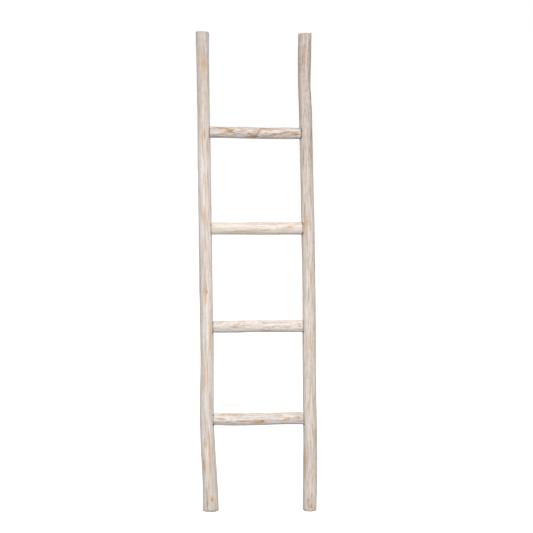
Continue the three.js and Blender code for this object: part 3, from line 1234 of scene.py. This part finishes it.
def weld(piece):
    """Joins points that a cut left side by side, and drops the slivers between them."""
    shape = bmesh.new()
    shape.from_mesh(piece.data)
    bmesh.ops.remove_doubles(shape, verts=shape.verts, dist=WELD)
    bmesh.ops.dissolve_degenerate(shape, edges=shape.edges, dist=WELD)
    slivers = [f for f in shape.faces if any(len(edge.link_faces) == 1 for edge in f.edges)]
    bmesh.ops.delete(shape, geom=slivers, context="FACES")
    loose = [vertex for vertex in shape.verts if not vertex.link_faces]
    bmesh.ops.delete(shape, geom=loose, context="VERTS")
    if any(len(edge.link_faces) != 2 for edge in shape.edges):
        raise RuntimeError(piece.name + " isn't closed after its cuts")
    bmesh.ops.triangulate(shape, faces=[f for f in shape.faces if len(f.verts) > 4])
    shape.to_mesh(piece.data)
    shape.free()


# ---- attributes that the woods read ----


BARE = 1.5  # rubbed enough to lose all the whitewash
RIM_DIRT_AND_SHADE = 1.4 * MM  # how far the dirt and painted shade spread from the rim of a seat
SHOULDER_DIRT_AND_SHADE = 2.2 * MM  # how far the dirt and painted shade spread along a rung
SKIN_DEPTH = 2.4 * MM  # deeper in than this is the inside of a hole


def parted_grain(skin):
    """Straight coordinates whose grain parts round each knot."""
    bent = np.zeros(len(skin.points))
    for share, turn, size in KNOTS[skin.name]:
        along, across = skin.from_mark(share, turn)
        width = size * MM * 1.2
        fade = bell(along, 2.6 * width) * bell(across, 3.2 * width)
        bent -= width * 0.8 * np.tanh(across / (0.6 * width)) * fade
    turn = bent / skin.line.radius(skin.place)
    cos, sin = np.cos(turn), np.sin(turn)
    sign = 1 if skin.name in RAILS else -1
    first, second = skin.offset.T
    return np.column_stack((
        first * cos - sign * second * sin, sign * first * sin + second * cos, skin.place,
    ))


def shade_and_dirt_round_joint(upward):
    """Painted shade with some dirt round a joint, darkest under it, then above it: upward runs from
    -1 below to 1 above.
    """
    return 0.35 + np.where(upward < 0, 0.85, 0.4) * np.clip(upward, -1, 1) ** 2


def wear_and_shade_rail(skin, rubbed, joints):
    """Wears the ends, soils the foot, paints shade and dirt round the rims of the seats, and bares
    the holes and darkens them with painted shade.
    """
    rubbed = rubbed + 0.4 * bell(skin.from_end, 5 * MM)
    grime = 0.3 * bell(skin.place - skin.low, 6 * MM)
    for joint in joints:
        along, *across = joint.local(skin.points).T
        upward = (skin.points[:, 2] - joint.frame.translation.z) / joint.seat_radius
        # Painted shade with some dirt in a ring round each seat, darkest below the rung.
        near = bell(np.hypot(*across) - joint.seat_radius, RIM_DIRT_AND_SHADE) * shade_and_dirt_round_joint(upward)
        grime = np.maximum(grime, near * (along > joint.seat_floor - 3 * MM))
    # The inside of each hole is bared, and darkened with painted shade.
    inside = skin.line.radius(skin.place) - skin.reach > SKIN_DEPTH
    inside &= skin.from_end > 8 * MM
    return np.where(inside, BARE, rubbed), np.where(inside, 0.75, grime)


def wear_and_shade_rung(skin, rubbed):
    """Paints shade and dirt round the shoulders, paints shade on the underside, and bares the
    tenons.
    """
    rubbed = rubbed - 0.25 * bell(skin.from_end - 5 * MM, 3.5 * MM)
    upward = np.sin(np.radians(skin.degrees()))
    # Painted shade with some dirt round each shoulder, darkest below it.
    grime = bell(np.maximum(skin.from_end, 0), SHOULDER_DIRT_AND_SHADE) * shade_and_dirt_round_joint(upward)
    # Painted shade along the underside.
    grime += 0.12 * np.clip(-upward, 0, 1) ** 6
    # The tenons are bared, and darkened a little with painted shade.
    inside = skin.from_end < 0
    return np.where(inside, BARE, rubbed), np.where(inside, 0.2, grime)


def paint(piece, name, joints):
    """Stores where the grain runs, the knots, the rubbed patches, and the dirt and painted shade.
    """
    skin = Skin(piece, name)
    knot = np.zeros(len(skin.points))
    for share, turn, size in KNOTS[name]:
        along, across = skin.from_mark(share, turn)
        knot = np.maximum(knot, bell(along, 1.25 * size * MM) * bell(across, 0.85 * size * MM))
    rubbed = knot * 0.9
    for share, turn, half_length, half_width, amount, slant in RUBBED[name]:
        along, across = skin.from_mark(share, turn)
        cos, sin = math.cos(math.radians(slant)), math.sin(math.radians(slant))
        lengthwise, crosswise = along * cos + across * sin, across * cos - along * sin
        rubbed += amount * bell(lengthwise, half_length * MM) * bell(crosswise, half_width * MM)
    if name in RAILS:
        rubbed, grime = wear_and_shade_rail(skin, rubbed, joints)
    else:
        rubbed, grime = wear_and_shade_rung(skin, rubbed)
    shares, amounts = zip(*SOILED.get(name, ((0, 0), (1, 0))))
    grime += np.interp((skin.place - skin.low) / (skin.high - skin.low), shares, amounts)
    # Painted shade in the creases, darker where they are deeper.
    for depth in skin.creases(0.7):
        grime = np.maximum(grime, 0.3 * depth)
    store(piece.data, parted_grain(skin), knot=knot, rubbed=rubbed, grime=grime)


def store(mesh, grain, **values):
    """Keeps only the attributes that the materials read."""
    for old in [a.name for a in mesh.attributes if a.name in ("girth", "relief", "grain", *values)]:
        mesh.attributes.remove(mesh.attributes[old])
    mesh.attributes.new("grain", "FLOAT_VECTOR", "POINT").data.foreach_set("vector", grain.ravel())
    for key, value in values.items():
        mesh.attributes.new(key, "FLOAT", "POINT").data.foreach_set("value", value)


def shade(piece, material, sharp_degrees=38):
    """Smooth faces, with edges kept sharp where the surface really turns."""
    mesh = piece.data
    mesh.materials.clear()
    mesh.materials.append(material)
    mesh.shade_smooth()
    mesh.set_sharp_from_angle(angle=math.radians(sharp_degrees))


def place_in_frame(piece, slot, *nodes):
    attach(piece, BODY)
    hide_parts(*nodes)


# ---- operators ----


class LADDER_OT_rails(bpy.types.Operator):
    """Grow both rails and bore them for the rungs, the plugs and the screws"""

    bl_idname = "ladder.rails"
    bl_label = "Build Rails and Plugs"

    def execute(self, context):
        joints = read_joints()
        dowels = []
        for name in RAILS:
            low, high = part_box(name)
            line = line_of(name)
            material = whitewashed_wood(name)
            rail = grow_pole(name, line, rail_rings(line, low.z, high.z), material)
            rail.name = name + "_pole"
            carve_knots(rail, name)
            finish_rail_ends(rail, name)
            own = [joint for joint in joints if joint.rail == name]
            dowels.append(self.cut_dowels(rail, own))
            tools = [
                combined("seats", [joint.seat_and_mortise() for joint in own]),
                combined("holes", [joint.plug_and_screw_hole() for joint in own]),
            ]
            cut_with(rail, tools, "DIFFERENCE")
            paint(rail, name, own)
            shade(rail, material)
            place_in_frame(rail, "rail_wood", name)
        self.join_plugs(dowels, joints)
        return {"FINISHED"}

    def cut_dowels(self, rail, joints):
        """Dowels cut back to the rail's own uncut surface."""
        dowels = combined("dowels", [joint.dowel() for joint in joints])
        cut_with(dowels, [new_piece("uncut_rail", rail.data.copy())], "INTERSECT")
        return dowels

    def join_plugs(self, dowels, joints):
        """All the dowels as one piece, with the grain of each across its own end."""
        shapes = []
        for part in dowels:
            points = [vertex.co.copy() for vertex in part.data.vertices]
            shapes.append((points, [tuple(face.vertices) for face in part.data.polygons]))
            bpy.data.objects.remove(part)
        piece = combined("joint_plugs", shapes)
        tips = np.array([joint.frame.translation for joint in joints])
        points = read_points(piece.data)
        nearest = np.linalg.norm(points[:, None] - tips, axis=2).argmin(1)
        x, y, z = (points - tips[nearest]).T
        rim = np.hypot(y, z) / joints[0].plug_radius
        grime = np.clip((rim - 0.8) / 0.2, 0, 1) * 0.5
        grain = np.column_stack((x, z, y))
        store(piece.data, grain, knot=rim * 0, rubbed=rim * 0 + 0.3, grime=grime)
        shade(piece, whitewashed_wood("plugs"))
        place_in_frame(piece, "plug_wood", *[joint.plug for joint in joints])


class LADDER_OT_rungs(bpy.types.Operator):
    """Grow the four rungs with their shoulders, tenons and pilot holes"""

    bl_idname = "ladder.rungs"
    bl_label = "Build Rungs"

    def execute(self, context):
        joints = read_joints()
        for name in RUNGS:
            line = line_of(name)
            material = whitewashed_wood(name)
            rung = grow_pole(name, line, rung_rings(line), material)
            rung.name = name + "_pole"
            carve_knots(rung, name)
            own = [joint for joint in joints if joint.rung == name]
            pilots = combined("pilots", [joint.pilot_hole() for joint in own])
            cut_with(rung, [pilots], "DIFFERENCE")
            paint(rung, name, own)
            shade(rung, material)
            place_in_frame(rung, "rung_wood", name)
        return {"FINISHED"}


class LADDER_OT_screws(bpy.types.Operator):
    """Thread a countersunk wood screw into each joint"""

    bl_idname = "ladder.screws"
    bl_label = "Build Screws"

    def execute(self, context):
        sizes = context.scene.ladder_joints
        joints = read_joints()
        mesh = bpy.data.meshes.new("wood_screws")
        mesh.from_pydata([joint.frame @ Vector((joint.head, 0, 0)) for joint in joints], [], [])
        drive = mesh.attributes.new("drive", "FLOAT_VECTOR", "POINT")
        drive.data.foreach_set("vector", [value for joint in joints for value in joint.direction])
        piece = new_piece("wood_screws", mesh)
        steel = zinc_steel()
        first = joints[0]
        dress(
            piece, shared("Wood Screws", wood_screws),
            {
                "Length": first.screw_end - first.head, "Head Diameter": first.head_radius * 2,
                "Core Share": sizes.core_share, "Plain Share": sizes.plain_share,
                "Pitch": sizes.thread_pitch, "Steel": steel,
            },
        )
        settle(piece)
        shade(piece, steel, sharp_degrees=45)
        place_in_frame(piece, "screw_steel", *[joint.screw for joint in joints])
        return {"FINISHED"}


class LADDER_OT_stage(bpy.types.Operator):
    """Lay the floor and set the light and the camera"""

    bl_idname = "ladder.stage"
    bl_label = "Build Stage"

    def execute(self, context):
        settings = context.scene.ladder_stage
        self.lay_floor()
        self.light_sky(context.scene, settings.sky)
        power = settings.key_power
        self.hang_light("key_light", (0.35, -4.6, 1.8), 2.6, power)
        self.hang_light("back_light", (0.3, 4.8, 2.2), 2.6, power * 0.6)
        self.hang_light("top_light", (-0.2, -1.6, 5.6), 2.4, power * 0.36)
        self.set_camera(context.scene, settings)
        context.scene.view_settings.view_transform = "Standard"
        return {"FINISHED"}

    def lay_floor(self):
        size = 30.0
        mesh = bpy.data.meshes.new("floor")
        corners = [(-size, -size, 0), (size, -size, 0), (size, size, 0), (-size, size, 0)]
        mesh.from_pydata(corners, [], [(0, 1, 2, 3)])
        floor = new_piece("floor", mesh)
        surface = Surface("pale_floor")
        seen = surface.out("ShaderNodeLightPath", "Is Camera Ray")
        mesh.materials.append(surface.finish({
            "Base Color": (0.27, 0.27, 0.27), "Roughness": 0.9, "Specular IOR Level": 0.0,
            "Emission Color": (1, 1, 1), "Emission Strength": seen * 0.92,
        }))

    def light_sky(self, scene, strength):
        """Even light from all round, behind which the view stays white."""
        world = bpy.data.worlds.new("studio")
        scene.world = world
        world.use_nodes = True
        nodes, links = world.node_tree.nodes, world.node_tree.links
        background = nodes["Background"]
        background.inputs["Color"].default_value = (1, 1, 1, 1)
        path = nodes.new("ShaderNodeLightPath")
        level = nodes.new("ShaderNodeMapRange")
        level.inputs["To Min"].default_value = strength
        level.inputs["To Max"].default_value = 1.0
        links.new(path.outputs["Is Camera Ray"], level.inputs["Value"])
        links.new(level.outputs["Result"], background.inputs["Strength"])

    def hang_light(self, name, place, size, power):
        """A round lamp that shines on the ladder's middle."""
        light = bpy.data.lights.new(name, "AREA")
        light.shape = "DISK"
        light.size = size
        light.energy = power
        self.aim_at((0, 0, 0.7), new_piece(name, light), place)

    def aim_at(self, aim, holder, place):
        holder.location = place
        holder.rotation_euler = (Vector(aim) - Vector(place)).to_track_quat("-Z", "Y").to_euler()

    def set_camera(self, scene, settings):
        camera = bpy.data.cameras.new("camera")
        camera.lens = settings.lens
        camera.sensor_width = 36
        camera.clip_end = 100
        scene.camera = new_piece("camera", camera)
        self.aim_at(settings.camera_aim, scene.camera, settings.camera_place)


class LADDER_PT_panel(bpy.types.Panel):
    """Lists the ladder's settings and the steps that build it"""

    bl_idname = "LADDER_PT_panel"
    bl_label = "Whitewashed Ladder"
    bl_space_type = "VIEW_3D"
    bl_region_type = "UI"
    bl_category = "Ladder"

    def draw(self, context):
        scene = context.scene
        groups = scene.ladder_poles, scene.ladder_joints, scene.ladder_colours, scene.ladder_stage
        for group in groups:
            box = self.layout.box()
            for key in group.bl_rna.properties.keys():
                if key not in ("rna_type", "name"):
                    box.prop(group, key)
        for step in STEPS:
            self.layout.operator(step.bl_idname)


GROUPS = {
    "ladder_poles": PoleSizes,
    "ladder_joints": JointSizes,
    "ladder_colours": WoodColours,
    "ladder_stage": StageSettings,
}
STEPS = (LADDER_OT_rails, LADDER_OT_rungs, LADDER_OT_screws, LADDER_OT_stage)


def register():
    for kind in (*GROUPS.values(), *STEPS, LADDER_PT_panel):
        bpy.utils.register_class(kind)
    for key, kind in GROUPS.items():
        setattr(bpy.types.Scene, key, PointerProperty(type=kind))


def unregister():
    for key in GROUPS:
        delattr(bpy.types.Scene, key)
    for kind in reversed((*GROUPS.values(), *STEPS, LADDER_PT_panel)):
        bpy.utils.unregister_class(kind)


def main():
    register()
    bpy.ops.ladder.rails()
    bpy.ops.ladder.rungs()
    bpy.ops.ladder.screws()
    bpy.ops.ladder.stage()


if __name__ == "__main__":
    main()
